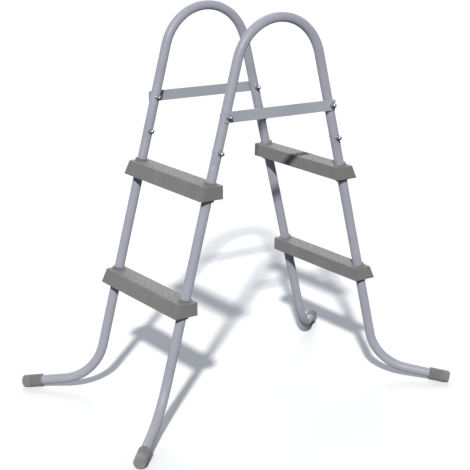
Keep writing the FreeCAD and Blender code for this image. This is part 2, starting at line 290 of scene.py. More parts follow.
# Scuffs: thin broken lines along the vector's Z, from a noise stretched in that direction
def buildScuffGroup():
    group, given, result = newGroup("fineScuffs", {"Line Width": 0.4, "Amount": 0.3}, ("Mask",))
    scale = addMath(group, "DIVIDE", millimetresPerMetre, given["Line Width"])
    lines = addNoise(group, mapped(group, given["Vector"], "Scale", (1, 1, 0.035)), scale, 2.0)
    patches = addNoise(group, given["Vector"], addMath(group, "MULTIPLY", scale, 0.02), 3.0)
    level = addMath(group, "MULTIPLY_ADD", given["Amount"], -0.25, 0.72)
    mask = addMath(group, "MULTIPLY",
                   addRange(group, lines, level, addMath(group, "ADD", level, 0.06)),
                   addRange(group, patches, 0.48, 0.62))
    wire(group, mask, result["Mask"])
    return group


edgeBevel = {"radius": 1.6 * mm, "samples": 6}


# Edge wear: where a rounded copy of the normal leaves the true normal, broken up by noise
def buildEdgeGroup():
    group, given, result = newGroup("edgeWear", {"Amount": 0.5}, ("Mask",))
    rounded = group.nodes.new("ShaderNodeBevel")
    rounded.samples = edgeBevel["samples"]
    rounded.inputs["Radius"].default_value = edgeBevel["radius"]
    geometry = group.nodes.new("ShaderNodeNewGeometry")
    agreement = dotProduct(group, rounded.outputs[0], geometry.outputs["Normal"])
    edge = addRange(group, agreement, 0.995, 0.90)
    breaks = addRange(group, addNoise(group, given["Vector"], 180.0, 4.0, 0.7), 0.40, 0.62)
    mask = addMath(group, "MULTIPLY", edge, breaks)
    wire(group, addMath(group, "MULTIPLY", mask, given["Amount"]), result["Mask"])
    return group


# Dust: lies on faces that look up, and splashes up from the floor
def buildDustGroup():
    group, given, result = newGroup("settledDust", {"Amount": 0.4, "Splash Height": 0.12}, ("Mask",))
    geometry = group.nodes.new("ShaderNodeNewGeometry")
    lying = addRange(group, upwardPart(group, geometry.outputs["Normal"]), 0.35, 1.0)
    splash = addRange(group, upwardPart(group, given["Vector"]), given["Splash Height"], 0.0)
    cloud = addRange(group, addNoise(group, given["Vector"], 45.0, 6.0, 0.7), 0.38, 0.68)
    either = addMath(group, "MAXIMUM", addMath(group, "MULTIPLY", lying, 0.7), splash)
    mask = addMath(group, "MULTIPLY", either, cloud)
    mask = addMath(group, "MULTIPLY", mask, given["Amount"], clamp=True)
    wire(group, mask, result["Mask"])
    return group


groups = {
    "grain": buildGrainGroup(),
    "blotches": buildBlotchGroup(),
    "scuffs": buildScuffGroup(),
    "edges": buildEdgeGroup(),
    "dust": buildDustGroup(),
}
print("node groups ready:", len(groups))

# Materials: each keeps its own Principled shader and places the groups with its own values


def newMaterial(name, coatWeight=0.0, coatRoughness=0.2, specular=0.5, metallic=0.0,
                diffuseRoughness=0.0):
    material = bpy.data.materials.new(name)
    material.use_nodes = True
    shader = material.node_tree.nodes["Principled BSDF"]
    for label, value in (("Metallic", metallic), ("Diffuse Roughness", diffuseRoughness),
                         ("Coat Weight", coatWeight), ("Coat Roughness", coatRoughness),
                         ("Specular IOR Level", specular)):
        shader.inputs[label].default_value = value
    return material, material.node_tree, shader


def place(tree, name, vector, **values):
    node = tree.nodes.new("ShaderNodeGroup")
    node.node_tree = groups[name]
    wire(tree, vector, node.inputs["Vector"])
    for label, value in values.items():
        spaced = "".join(" " + c if c.isupper() else c for c in label).title()
        node.inputs[spaced].default_value = value
    return node.outputs


def objectPlace(tree):
    return tree.nodes.new("ShaderNodeTexCoord").outputs["Object"]


# Blotches of two colours, with the deeper one in the grain as well
def mottled(tree, blotches, grain, s, fullAt):
    colour = addMix(tree, addRange(tree, blotches["Broad"], 0.35, fullAt), s["colour"], s["deepColour"])
    tint = addMath(tree, "MULTIPLY", grain["Value"], s["grainTint"])
    return addMix(tree, tint, colour, s["deepColour"])


# Colour, roughness and bump go to the material's own Principled shader
def completeShader(tree, shader, colour, rough, height, s):
    node = tree.nodes.new("ShaderNodeBump")
    node.inputs["Distance"].default_value = s["bumpHeight"]
    node.inputs["Strength"].default_value = s["bumpStrength"]
    wire(tree, height, node.inputs["Height"])
    for source, label in ((colour, "Base Color"), (rough, "Roughness"), (node.outputs[0], "Normal")):
        wire(tree, source, shader.inputs[label])


enamel = {
    "colour": (0.300, 0.305, 0.355, 1),
    "deepColour": (0.275, 0.280, 0.330, 1),
    "chalkColour": (0.40, 0.405, 0.44, 1),
    "dustColour": (0.37, 0.355, 0.32, 1),
    "orangePeel": 1.5,                  # grain size in millimetres
    "grainTint": 0.10,
    "scuffWear": 0.45,
    "chalk": 0.22,
    "roughness": (0.40, 0.56),
    "wornRoughness": 0.18,
    "dustRoughness": 0.30,
    "bumpHeight": 0.05 * mm,
    "bumpStrength": 0.55,
}


# straightPlace is a tube's surface with its bends straightened, so that draw lines follow the bends
def makeEnamel(name, e, follow):
    material, tree, shader = newMaterial(name, specular=0.4, coatWeight=0.05, coatRoughness=0.4,
                                         diffuseRoughness=0.5)
    here = objectPlace(tree)
    along = attribute(tree, "straightPlace", "Vector") if follow else here
    blotches = place(tree, "blotches", here, blotchSize=90.0)
    grain = place(tree, "grain", along, grainSize=e["orangePeel"], unevenness=1.6)
    scuffs = place(tree, "scuffs", along, lineWidth=0.5, amount=0.45)
    dust = place(tree, "dust", here, amount=0.35, splashHeight=0.16)
    edges = place(tree, "edges", here, amount=0.55)
    colour = addMix(tree, addRange(tree, blotches["Broad"], 0.35, 0.70), e["colour"], e["deepColour"])
    chalk = addRange(tree, blotches["Small"], 0.50, 0.78, 0.0, e["chalk"])
    colour = addMix(tree, chalk, colour, e["chalkColour"])
    tint = addMath(tree, "MULTIPLY", grain["Value"], e["grainTint"])
    colour = addMix(tree, tint, colour, e["deepColour"])
    scuffed = addMath(tree, "MULTIPLY", scuffs["Mask"], e["scuffWear"])
    wear = addMath(tree, "MAXIMUM", scuffed, edges["Mask"])
    colour = addMix(tree, wear, colour, e["chalkColour"])
    colour = addMix(tree, dust["Mask"], colour, e["dustColour"])
    rough = addRange(tree, blotches["Small"], 0.3, 0.7, *e["roughness"])
    rough = addMath(tree, "MULTIPLY_ADD", wear, e["wornRoughness"], rough)
    rough = addMath(tree, "MULTIPLY_ADD", dust["Mask"], e["dustRoughness"], rough, clamp=True)
    height = addMath(tree, "MULTIPLY_ADD", scuffs["Mask"], -0.6, grain["Height"])
    completeShader(tree, shader, colour, rough, height, e)
    return material


plastic = {
    "colour": (0.148, 0.148, 0.148, 1),
    "deepColour": (0.138, 0.138, 0.138, 1),
    "paleColour": (0.262, 0.262, 0.258, 1),
    "dustColour": (0.198, 0.194, 0.184, 1),
    "grain": 1.1,                       # grain size in millimetres
    "grainTint": 0.35,
    "scuffWear": 0.3,
    "gripWearAndHighlight": (0.35, 0.9),            # how pale the tops of the grip bars are: trodden wear and a painted highlight
    "roughness": (0.52, 0.70),
    "wornRoughness": -0.08,
    "dustRoughness": 0.2,
    "bumpHeight": 0.10 * mm,
    "bumpStrength": 0.8,
}


def makeTreadPlastic(name, p):
    material, tree, shader = newMaterial(name, specular=0.3, diffuseRoughness=1.0)
    here = objectPlace(tree)
    blotches = place(tree, "blotches", here, blotchSize=70.0)
    grain = place(tree, "grain", here, grainSize=p["grain"], unevenness=0.6)
    lengthways = mapped(tree, here, "Rotation", (math.radians(90), 0, 0))
    scuffs = place(tree, "scuffs", lengthways, lineWidth=0.9, amount=0.7)
    dust = place(tree, "dust", here, amount=0.35, splashHeight=0.01)
    edges = place(tree, "edges", here, amount=0.25)
    colour = mottled(tree, blotches, grain, p, 0.68)
    scuffed = addMath(tree, "MULTIPLY", scuffs["Mask"], p["scuffWear"])
    wear = addMath(tree, "MAXIMUM", scuffed, edges["Mask"])
    # The grip bars' tops are painted pale: partly trodden wear, partly a painted highlight where they
    # catch the light
    troddenAndHighlit = addMath(tree, "MULTIPLY", attribute(tree, "gripTop"),
                      addRange(tree, blotches["Small"], 0.32, 0.6, *p["gripWearAndHighlight"]))
    wear = addMath(tree, "MAXIMUM", wear, troddenAndHighlit)
    colour = addMix(tree, wear, colour, p["paleColour"])
    colour = addMix(tree, dust["Mask"], colour, p["dustColour"])
    rough = addRange(tree, blotches["Small"], 0.3, 0.7, *p["roughness"])
    rough = addMath(tree, "MULTIPLY_ADD", dust["Mask"], p["dustRoughness"], rough, clamp=True)
    rough = addMath(tree, "MULTIPLY_ADD", wear, p["wornRoughness"], rough)
    completeShader(tree, shader, colour, rough, grain["Height"], p)
    return material


rubber = {
    "colour": (0.184, 0.186, 0.186, 1),
    "deepColour": (0.150, 0.152, 0.152, 1),
    # painted shade in the ring grooves, from here and the next line
    "grooveShadeColour": (0.055, 0.056, 0.058, 1),
    "paleColour": (0.27, 0.27, 0.265, 1),
    "dustColour": (0.28, 0.268, 0.24, 1),
    "grainTint": 0.25,
    "grooveShadeStrength": 0.5,
    "roughness": (0.66, 0.86),
    "bumpHeight": 0.08 * mm,
    "bumpStrength": 0.8,
}


def makeCapRubber(name, r):
    material, tree, shader = newMaterial(name, specular=0.35, diffuseRoughness=1.0)
    here = objectPlace(tree)
    blotches = place(tree, "blotches", here, blotchSize=30.0)
    grain = place(tree, "grain", here, grainSize=0.7, unevenness=1.0)
    dust = place(tree, "dust", here, amount=0.45, splashHeight=0.05)
    edges = place(tree, "edges", here, amount=0.35)
    colour = mottled(tree, blotches, grain, r, 0.7)
    colour = addMix(tree, edges["Mask"], colour, r["paleColour"])
    colour = addMix(tree, dust["Mask"], colour, r["dustColour"])
    # Painted shade: the ring grooves are darkened by their depth
    paintedGrooveShade = addMath(tree, "MULTIPLY", attribute(tree, "grooveDepth"), r["grooveShadeStrength"])
    colour = addMix(tree, paintedGrooveShade, colour, r["grooveShadeColour"])
    rough = addRange(tree, blotches["Small"], 0.3, 0.7, *r["roughness"])
    completeShader(tree, shader, colour, rough, grain["Height"], r)
    return material


steel = {
    "colour": (0.86, 0.86, 0.87, 1),
    "dullColour": (0.60, 0.60, 0.60, 1),
    "edgeColour": (0.88, 0.88, 0.88, 1),
    "paintedDarkReflectionColour": (0.10, 0.10, 0.11, 1),         # painted dark reflection, on faces that look down
    "roughness": (0.10, 0.24),
    "scuffRoughness": 0.15,
    "bumpHeight": 0.03 * mm,
    "bumpStrength": 0.5,
}


def makeBrightSteel(name, b):
    material, tree, shader = newMaterial(name, metallic=1.0)
    here = objectPlace(tree)
    blotches = place(tree, "blotches", here, blotchSize=6.0)
    scuffs = place(tree, "scuffs", here, lineWidth=0.12, amount=0.8)
    edges = place(tree, "edges", here, amount=0.4)
    colour = addMix(tree, addRange(tree, blotches["Broad"], 0.42, 0.72), b["colour"], b["dullColour"])
    colour = addMix(tree, edges["Mask"], colour, b["edgeColour"])
    # Faces that look down are painted darker: a painted dark reflection of the ground below
    normal = tree.nodes.new("ShaderNodeNewGeometry")
    below = addRange(tree, upwardPart(tree, normal.outputs["Normal"]), 0.2, -0.45)
    colour = addMix(tree, below, colour, b["paintedDarkReflectionColour"])
    rough = addRange(tree, blotches["Small"], 0.3, 0.7, *b["roughness"])
    rough = addMath(tree, "MULTIPLY_ADD", scuffs["Mask"], b["scuffRoughness"], rough)
    completeShader(tree, shader, colour, rough, blotches["Small"], b)
    return material


barEnamel = dict(enamel, orangePeel=1.2, colour=(0.304, 0.318, 0.352, 1),
                 deepColour=(0.276, 0.290, 0.324, 1))
materials = {
    "painted_tube": makeEnamel("tubeEnamel", enamel, True),
    "painted_bar": makeEnamel("barEnamel", barEnamel, False),
    "tread_plastic": makeTreadPlastic("treadPlastic", plastic),
    "cap_rubber": makeCapRubber("capRubber", rubber),
    "bright_steel": makeBrightSteel("brightSteel", steel),
}
print("materials ready:", len(materials))

# Pieces: every surface is a grid of points worked out as whole arrays


def gridFaces(count, columns, wrapRows, wrapColumns, first):
    r = np.arange(count if wrapRows else count - 1)
    c = np.arange(columns if wrapColumns else columns - 1)
    r, c = np.meshgrid(r, c, indexing="ij")
    nextR, nextC = (r + 1) % count, (c + 1) % columns
    corners = (r * columns + c, r * columns + nextC, nextR * columns + nextC, nextR * columns + c)
    return first + np.stack(corners, -1).reshape(-1, 4)


def surface(points, wrapRows=False, wrapColumns=True, **attributes):
    return {"points": np.asarray(points, float), "wrap": (wrapRows, wrapColumns), "attributes": attributes}


meshing = {"weldDistance": 2e-6, "shortestEdge": 1e-6, "sharpAngle": math.radians(40.0)}


# One mesh from several closed surfaces; coincident points are merged, so seams and poles close
def makePiece(name, surfaces, node, slot):
    points, faces, attributes, first = [], [], {}, 0
    for s in surfaces:
        count, columns = s["points"].shape[:2]
        points.append(s["points"].reshape(-1, 3))
        faces.append(gridFaces(count, columns, *s["wrap"], first))
        for label, values in s["attributes"].items():
            rowsOfValues = np.asarray(values, float).reshape(count * columns, -1)
            attributes.setdefault(label, []).append(rowsOfValues)
        first += count * columns
    mesh = bpy.data.meshes.new(name)
    mesh.from_pydata(np.concatenate(points).tolist(), [], np.concatenate(faces).tolist())
    for label, values in attributes.items():
        stacked = np.concatenate(values)
        kind, field = ("FLOAT_VECTOR", "vector") if stacked.shape[1] == 3 else ("FLOAT", "value")
        mesh.attributes.new(label, kind, "POINT").data.foreach_set(field, stacked.ravel())
    work = bmesh.new()
    work.from_mesh(mesh)
    bmesh.ops.remove_doubles(work, verts=work.verts, dist=meshing["weldDistance"])
    bmesh.ops.dissolve_degenerate(work, edges=work.edges, dist=meshing["shortestEdge"])
    bmesh.ops.recalc_face_normals(work, faces=work.faces)
    work.to_mesh(mesh)
    work.free()
    mesh.shade_smooth()
    mesh.set_sharp_from_angle(angle=meshing["sharpAngle"])
    mesh.materials.append(materials[slot])
    piece = addObject(name, mesh)
    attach(piece, "root")
    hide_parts(node)
    compareWithNode(piece, node)


boxDifferences = []


def compareWithNode(piece, node):
    low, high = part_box(node)
    points = np.empty(len(piece.data.vertices) * 3)
    piece.data.vertices.foreach_get("co", points)
    points = points.reshape(-1, 3)
    worst = max(np.abs(points.min(0) - low).max(), np.abs(points.max(0) - high).max())
    boxDifferences.append((round(worst / mm, 2), node))


def unit(v):
    return v / np.linalg.norm(v)


# Frame sizes: what the boxes of the loaded nodes give, and the bends that they don't

tubeFrame = {
    "lean": math.radians(14.5),         # between a leg and the vertical
    "railBendRadius": 0.145,
    "wall": 0.0012,
    "spigotClearance": 0.00015,
    "spigotLength": 0.063,
    "shoulder": 0.0015,                 # rounding from the leg down to its spigot
    "swage": 0.006,                     # where the leg's bore narrows
    "footTurn": math.radians(45.0),     # in plan, from the X axis
    "footDrop": math.radians(9.0),
    "footBendRadius": 0.140,
    "footStraight": 0.128,
    "around": 56,                       # points round a tube
    "bendStep": 0.005,
    "straightStep": 0.05,
    "lip": 0.35 * mm,                   # rounding of a tube's cut ends
    "ovality": 0.012,                   # how much a bend flattens its tube
}

railLow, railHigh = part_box("handrail_front")
tubeRadius = (railHigh.y - railLow.y) / 2
halfSpacing = -(railHigh.y + railLow.y) / 2
apexHeight = railHigh.z - tubeRadius
lean = tubeFrame["lean"]
arcEndX = tubeFrame["railBendRadius"] * math.cos(lean)
arcEndZ = apexHeight - tubeFrame["railBendRadius"] * (1 - math.sin(lean))
railEndZ = railLow.z + tubeRadius * math.sin(lean)


def legPoint(side, row, z):
    return np.array((side * (arcEndX + (arcEndZ - z) * math.tan(lean)), row * halfSpacing, z))


def legDown(side):
    return np.array((side * math.sin(lean), 0, -math.cos(lean)))


# A line, an arc and a line in one plane, at distances s from its start. The turned angle is
# (s - runIn) / bendRadius, held between 0 and the whole angle. Point and normal follow from it.
def bentPath(s, start, heading, towards, runIn, bendRadius, angle):
    turned = np.clip((s - runIn) / bendRadius, 0, angle)[:, None]
    before = np.minimum(s, runIn)[:, None]
    after = np.maximum(s - runIn - bendRadius * angle, 0)[:, None]
    leaving = heading * math.cos(angle) + towards * math.sin(angle)
    points = (start + heading * (before + bendRadius * np.sin(turned))
              + towards * bendRadius * (1 - np.cos(turned)) + leaving * after)
    normals = towards * np.cos(turned) - heading * np.sin(turned)
    flattening = np.sin(np.pi * turned / angle)
    return points, normals, flattening


# Stations along a bent path: close in the bend, wider on the straight runs
def pathStations(length, runIn, bendLength, f):
    bend = np.linspace(runIn, runIn + bendLength, int(bendLength / f["bendStep"]) + 1)
    runOut = length - runIn - bendLength
    before = np.linspace(0, runIn, max(3, int(runIn / f["straightStep"]) + 1))[:-1]
    after = np.linspace(runIn + bendLength, length, max(3, int(runOut / f["straightStep"]) + 1))[1:]
    return np.concatenate((before, bend, after))


# A ring of one radius at each distance, carried along the path and flattened a little in its bend.
# straightPlace is the same surface with its path pulled straight along Z.
def tubeSurface(distances, radii, start, heading, towards, runIn, bendRadius, angle, f):
    points, normals, flattening = bentPath(distances, start, heading, towards, runIn, bendRadius, angle)
    sideways = np.cross(heading, towards)
    theta = np.linspace(0, 2 * np.pi, f["around"], endpoint=False)
    across = radii[:, None] * np.cos(theta) * (1 - f["ovality"] * flattening)
    beside = radii[:, None] * np.sin(theta) * (1 + f["ovality"] * flattening * 0.5)
    ring = points[:, None] + normals[:, None] * across[..., None] + sideways * beside[..., None]
    straight = np.stack((radii[:, None] * np.cos(theta), radii[:, None] * np.sin(theta),
                         np.broadcast_to(distances[:, None], across.shape)), -1)
    return surface(ring, wrapRows=True, straightPlace=straight)


# A quarter round between two directions: points of a section's rounded edge, in its two measures
def quarterRound(centre, radius, fromAngle, toAngle, count=5):
    a = np.radians(np.linspace(fromAngle, toAngle, count))
    return np.stack((centre[0] + radius * np.cos(a), centre[1] + radius * np.sin(a)), 1)


# The outside, the rounded far end and the bore of a tube
def tubeRows(stations, length, bore, lip):
    return np.concatenate((
        np.stack((stations, np.full_like(stations, tubeRadius)), 1),
        quarterRound((length - lip, tubeRadius - lip), lip, 90, 0),
        quarterRound((length - lip, bore + lip), lip, 0, -90),
        np.stack((stations[::-1], np.full_like(stations, bore)), 1)))


def makeHandrail(rowName, row, f):
    runIn = (arcEndZ - railEndZ) / math.cos(lean)
    angle = math.pi - 2 * lean
    bendLength = f["railBendRadius"] * angle
    length = 2 * runIn + bendLength
    bore = tubeRadius - f["wall"]
    lip = f["lip"]
    stations = pathStations(length, runIn, bendLength, f)[1:-1]
    section = np.concatenate((
        quarterRound((lip, tubeRadius - lip), lip, 180, 90),
        tubeRows(stations, length, bore, lip),
        quarterRound((lip, bore + lip), lip, 270, 180)))
    start = legPoint(-1, row, railEndZ)
    towards = np.array((math.cos(lean), 0, -math.sin(lean)))
    tube = tubeSurface(section[:, 0], section[:, 1], start, -legDown(-1), towards,
                       runIn, f["railBendRadius"], angle, f)
    makePiece("rail_tube_" + rowName, [tube], "handrail_" + rowName, "painted_tube")


# Foot caps

footCap = {
    "length": 0.064,
    "endThickness": 0.008,
    "wall": 0.0043,
    "clearance": 0.0001,
    "endRound": 0.009,
    "mouthRound": 0.0015,
    "floorFlat": 0.001,                 # how deep the flat under the cap is cut
    "ringCount": 5,
    "ringPitch": 0.0068,
    "ringStep": 0.2 * mm,               # between points along the rings
    "insideRound": 0.8 * mm,
    "boreChamfer": 1.0 * mm,
    "mouthLand": 0.004,
    "grooveWidth": 0.003,
    "grooveDepth": 0.0015,
    "grooveSoftness": 0.0008,
    "around": 72,
}

capRadius = tubeRadius + footCap["clearance"] + footCap["wall"]
capTipHeight = ((capRadius - footCap["endRound"]) * math.cos(tubeFrame["footDrop"])
                + footCap["endRound"] * (1 - math.sin(tubeFrame["footDrop"])) - footCap["floorFlat"])


def footDirection(side, row, f):
    level = math.cos(f["footDrop"])
    return np.array((side * math.cos(f["footTurn"]) * level, row * math.sin(f["footTurn"]) * level,
                     -math.sin(f["footDrop"])))


def footPath(side, row, f):
    down, out = legDown(side), footDirection(side, row, f)
    angle = math.acos(down @ out)
    tangent = f["footBendRadius"] * math.tan(angle / 2)
    reach = tangent + f["footStraight"] + footCap["clearance"] + footCap["endThickness"]
    corner = legPoint(side, row, capTipHeight + math.sin(f["footDrop"]) * reach)
    return corner - down * tangent, corner + out * (tangent + f["footStraight"]), angle


def makeLeg(cornerName, side, row, f):
    down, out = legDown(side), footDirection(side, row, f)
    bendStart, _, angle = footPath(side, row, f)
    shoulder = legPoint(side, row, railEndZ)
    top = shoulder - down * f["spigotLength"]
    runIn = float((bendStart - top) @ down)
    bendLength = f["footBendRadius"] * angle
    length = runIn + bendLength + f["footStraight"]
    bore = tubeRadius - f["wall"]
    spigot = bore - f["spigotClearance"]
    spigotBore = spigot - f["wall"]
    lip, soft = f["lip"], f["shoulder"]
    shoulderAt = f["spigotLength"]
    stations = pathStations(length, runIn, bendLength, f)
    stations = stations[(stations > shoulderAt + f["swage"] + 4 * soft) & (stations < length - lip)]
    section = np.concatenate((
        quarterRound((lip, spigot - lip), lip, 180, 90),
        [(shoulderAt, spigot)],
        quarterRound((shoulderAt + soft, tubeRadius - soft), soft, 180, 90, 7),
        tubeRows(stations, length, bore, lip),
        [(shoulderAt + soft + f["swage"], bore), (shoulderAt + soft, spigotBore)],
        quarterRound((lip, spigotBore + lip), lip, 270, 180)))
    towards = unit(out - down * (out @ down))
    tube = tubeSurface(section[:, 0], section[:, 1], top, down, towards,
                       runIn, f["footBendRadius"], angle, f)
    makePiece("leg_tube_" + cornerName, [tube], "leg_" + cornerName, "painted_tube")


# A profile of (along, radius) turned about an axis from a base point; shape gives the radius of
# each point round the axis from the profile's radii and the angle
def turnedSurface(profile, base, axis, around, shape=None):
    level = unit(np.cross(axis, (0, 0, 1)))
    upright = np.cross(level, axis)
    theta = np.linspace(0, 2 * np.pi, around, endpoint=False)
    radii = np.repeat(profile[:, 1:2], around, 1)
    if shape is not None:
        radii = shape(radii, theta)
    direction = np.cos(theta)[:, None] * upright + np.sin(theta)[:, None] * level
    return base + profile[:, 0, None, None] * axis + radii[..., None] * direction


# The section of a plain ring: all four of its edges rounded alike
def ringProfile(length, radius, bore, edge):
    return np.concatenate((
        quarterRound((edge, radius - edge), edge, 180, 90),
        quarterRound((length - edge, radius - edge), edge, 90, 0),
        quarterRound((length - edge, bore + edge), edge, 0, -90),
        quarterRound((edge, bore + edge), edge, 270, 180)))


# The groove's depth falls smoothly to nothing at the edges of each groove
def grooveDepth(along, c):
    middles = c["mouthLand"] + np.arange(c["ringCount"]) * c["ringPitch"] + c["grooveWidth"] / 2
    inside = c["grooveWidth"] / 2 - np.abs(along[:, None] - middles) + c["grooveSoftness"] / 2
    share = np.clip(inside / c["grooveSoftness"], 0, 1).max(1)
    return c["grooveDepth"] * share * share * (3 - 2 * share)


def makeFootCap(cornerName, side, row, f, c):
    out = footDirection(side, row, f)
    bore = tubeRadius + c["clearance"]
    boreDepth = c["length"] - c["endThickness"]
    mouth = footPath(side, row, f)[1] + out * (c["clearance"] - boreDepth)
    ringed = np.arange(c["mouthRound"], c["mouthLand"] + c["ringCount"] * c["ringPitch"], c["ringStep"])
    outer = np.stack((ringed, capRadius - grooveDepth(ringed, c)), 1)
    plainAt = np.linspace(ringed[-1] + mm, c["length"] - c["endRound"], 6)[:-1]
    plain = np.stack((plainAt, np.full_like(plainAt, capRadius)), 1)
    tipCentre = (c["length"] - c["endRound"], capRadius - c["endRound"])
    flatRadii = np.linspace(tipCentre[1], 0, 7)[1:]
    flatRing = np.stack((np.full_like(flatRadii, c["length"]), flatRadii), 1)
    insideRound, chamfer = c["insideRound"], c["boreChamfer"]
    profile = np.concatenate((
        [(boreDepth, 0.0), (boreDepth, bore - chamfer), (boreDepth - chamfer, bore), (insideRound, bore)],
        quarterRound((insideRound, bore + insideRound), insideRound, 270, 180),
        quarterRound((c["mouthRound"], capRadius - c["mouthRound"]), c["mouthRound"], 180, 90, 7),
        outer[1:], plain, quarterRound(tipCentre, c["endRound"], 90, 0, 13), flatRing))
    points = turnedSurface(profile, mouth, out, c["around"])
    points[..., 2] = np.maximum(points[..., 2], 0)
    outside = profile[:, 1] > bore + insideRound
    depth = np.where(outside, grooveDepth(profile[:, 0], c), 0) / c["grooveDepth"]
    depth = np.repeat(depth[:, None], c["around"], 1)
    makePiece("cap_sleeve_" + cornerName, [surface(points, grooveDepth=depth)],
              "foot_cap_" + cornerName, "cap_rubber")


# Crossbars: an outline with round corners that shrinks to its middle line, on both faces of the bar

crossbar = {
    "corner": 0.004,
    "edge": 0.0006,
    "support": 0.0004,
    "cornerPoints": 9,
    "lengthPoints": 26,
    "widthShares": (0.5, 0.0, -0.5),
}


# Corner centres and directions of a rounded rectangle, anticlockwise from its first corner, with more
# points on its sides at shares of the half length and the half width, from 1 down to -1
def outlineColumns(cornerPoints, lengthShares=(), widthShares=()):
    signs, turns = [], []
    quarter = np.linspace(0, 90, cornerPoints)
    for number, (su, sv) in enumerate(((1, 1), (-1, 1), (-1, -1), (1, -1))):
        signs += [(su, sv)] * cornerPoints
        turns += list(np.radians(quarter + 90 * number))
        if number % 2 == 0:
            shares = [(su * m, sv) for m in lengthShares]
        else:
            shares = [(su, sv * m) for m in widthShares]
        signs += shares
        turns += [turns[-1]] * len(shares)
    return np.array(signs, float), np.array(turns)


# The outline moved in by an inset in each row: the corner centres move once the inset passes the
# corner radius. halfLength and halfWidth are one number, or one for each row.
def insetOutline(columns, halfLength, halfWidth, corner, inset):
    signs, turns = columns
    inset = np.asarray(inset, float)[:, None]
    kept = np.maximum(corner, inset)
    radius = np.maximum(corner - inset, 0)
    halfLength, halfWidth = (np.reshape(half, (-1, 1)) for half in (halfLength, halfWidth))
    u = signs[:, 0] * (halfLength - kept) + radius * np.cos(turns)
    v = signs[:, 1] * (halfWidth - kept) + radius * np.sin(turns)
    return u, v


def makeCrossbar(rowName, c):
    node = "crossbar_" + rowName
    low, high = (np.array(corner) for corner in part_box(node))
    centre, half = (low + high) / 2, (high - low) / 2
    lengthShares = np.linspace(1, -1, c["lengthPoints"])[1:-1]
    columns = outlineColumns(c["cornerPoints"], lengthShares, c["widthShares"])
    edge = quarterRound((c["edge"], half[1] - c["edge"]), c["edge"], 90, 180)
    section = np.concatenate(([(half[2], half[1]), (c["edge"] + c["support"], half[1])], edge))
    section = np.concatenate((section, section[::-1] * (1, -1)))    # (inset, place through the bar)
    u, v = insetOutline(columns, half[0], half[2], c["corner"], section[:, 0])
    y = np.broadcast_to(section[:, 1:2], u.shape)
    points = centre + np.stack((u, y, v), -1)
    makePiece("bar_" + rowName, [surface(points)], node, "painted_bar")


for rowName, row in rows.items():
    makeHandrail(rowName, row, tubeFrame)
    makeCrossbar(rowName, crossbar)
    for sideName, side in sides.items():
        makeLeg(rowName + "_" + sideName, side, row, tubeFrame)
        makeFootCap(rowName + "_" + sideName, side, row, tubeFrame, footCap)
print("tubes, bars and caps made")

# Fasteners: turned profiles whose radius is limited or replaced by a hexagon

fastener = {
    "boltRadius": 0.004,
    "headRadius": 0.007,
    "headHeight": 0.0044,
    "headRound": 0.0035,
    "socketWidth": 0.005,
    "socketDepth": 0.0024,
    "socketChamfer": (0.2 * mm, 0.15 * mm),         # its depth and its width
    "socketPoint": 0.4 * mm,                        # the cone below the socket
    "headEdge": 0.25 * mm,
    "washerPlay": 0.2 * mm,                         # between a bolt and its washer
    "washerRadius": 0.008,
    "washerEdge": 0.0003,
    "nutWidth": 0.013,
    "nutHexHeight": 0.0065,
    "nutDomeRadius": 0.0062,
    "nutHeight": 0.015,
    "nutChamfer": 0.0009,
    "around": 72,
}


# Radius of a hexagon across its flats, with its corners rounded by a high power mean
def hexagonRadius(theta, width):
    sharpness = 36
    faces = np.abs(np.cos(theta[:, None] - np.radians((30, 90, 150))))
    return width / 2 / (faces ** sharpness).sum(1) ** (1 / sharpness)


# A fastener turned about the middle line of its node's box, from a seat on it towards heading (1 or -1)
def makeTurned(name, node, box, profile, seat, heading, around, shape=None, wrapRows=False):
    low, high = box
    base = np.array(((low.x + high.x) / 2, seat, (low.z + high.z) / 2))
    points = turnedSurface(profile, base, np.array((0.0, heading, 0.0)), around, shape)
    makePiece(name, [surface(points, wrapRows=wrapRows)], node, "bright_steel")


def makeBolt(name, node, b):
    low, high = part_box(node)
    seat = high.y - b["headHeight"]
    shank = low.y - seat
    rimAt = b["headHeight"] - b["headRound"]
    flat = b["headRadius"] - b["headRound"]
    socketFloor = b["headHeight"] - b["socketDepth"]
    edge, chamfer = b["headEdge"], b["socketChamfer"]
    profile = np.concatenate((
        [(shank, 0), (shank, b["boltRadius"] - edge), (shank + edge, b["boltRadius"]),
         (0, b["boltRadius"]), (0, b["headRadius"] - edge)],
        quarterRound((edge, b["headRadius"] - edge), edge, 180, 90, 4),
        quarterRound((rimAt, flat), b["headRound"], 90, 0, 10),
        [(b["headHeight"], flat - 0.1 * mm), (b["headHeight"], 0), (b["headHeight"] - chamfer[0], 0),
         (socketFloor, 0), (socketFloor - b["socketPoint"], 0)]))
    socketRows = np.array([-4, -3, -2])             # the profile's rows that follow the hexagon

    def headShape(radii, theta):
        wide = hexagonRadius(theta, b["socketWidth"])
        radii[socketRows] = np.stack((wide + chamfer[1], wide, wide))
        return radii

    makeTurned(name, node, (low, high), profile, seat, 1.0, b["around"], headShape)


def makeWasher(name, node, b):
    low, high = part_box(node)
    hole = b["boltRadius"] + b["washerPlay"]
    profile = ringProfile(high.y - low.y, b["washerRadius"], hole, b["washerEdge"])
    makeTurned(name, node, (low, high), profile, low.y, 1.0, b["around"], wrapRows=True)


